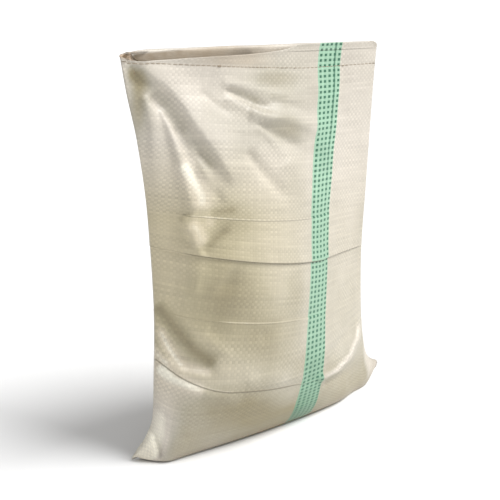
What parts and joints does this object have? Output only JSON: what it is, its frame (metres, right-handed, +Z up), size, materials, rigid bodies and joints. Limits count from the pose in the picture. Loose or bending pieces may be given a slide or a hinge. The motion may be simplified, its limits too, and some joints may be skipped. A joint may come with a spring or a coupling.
{
  "type": "woven polypropylene sack",
  "caption": "Filled woven plastic sack with a hemmed open mouth, a sewn bottom with corner ears and a green stripe, standing upright.",
  "frame": {"origin": "on the floor, at the middle of the outline of the standing sack seen from above", "axes": "+X along the width of the front panel, to the right as seen from the front; the front panel with the stripe faces -Y; +Z up to the mouth"},
  "size_m": [0.3594, 0.1286, 0.418],
  "materials": {
    "woven_cloth": "satin",
    "fill": "matte",
    "hem_thread": "matte",
    "seam_thread": "matte"
  },
  "bodies": {
    "root": {"sack_fabric": "woven_cloth", "contents": "fill", "mouth_hem_thread": "hem_thread", "bottom_seam_thread": "seam_thread"}
  },
  "joints": []
}
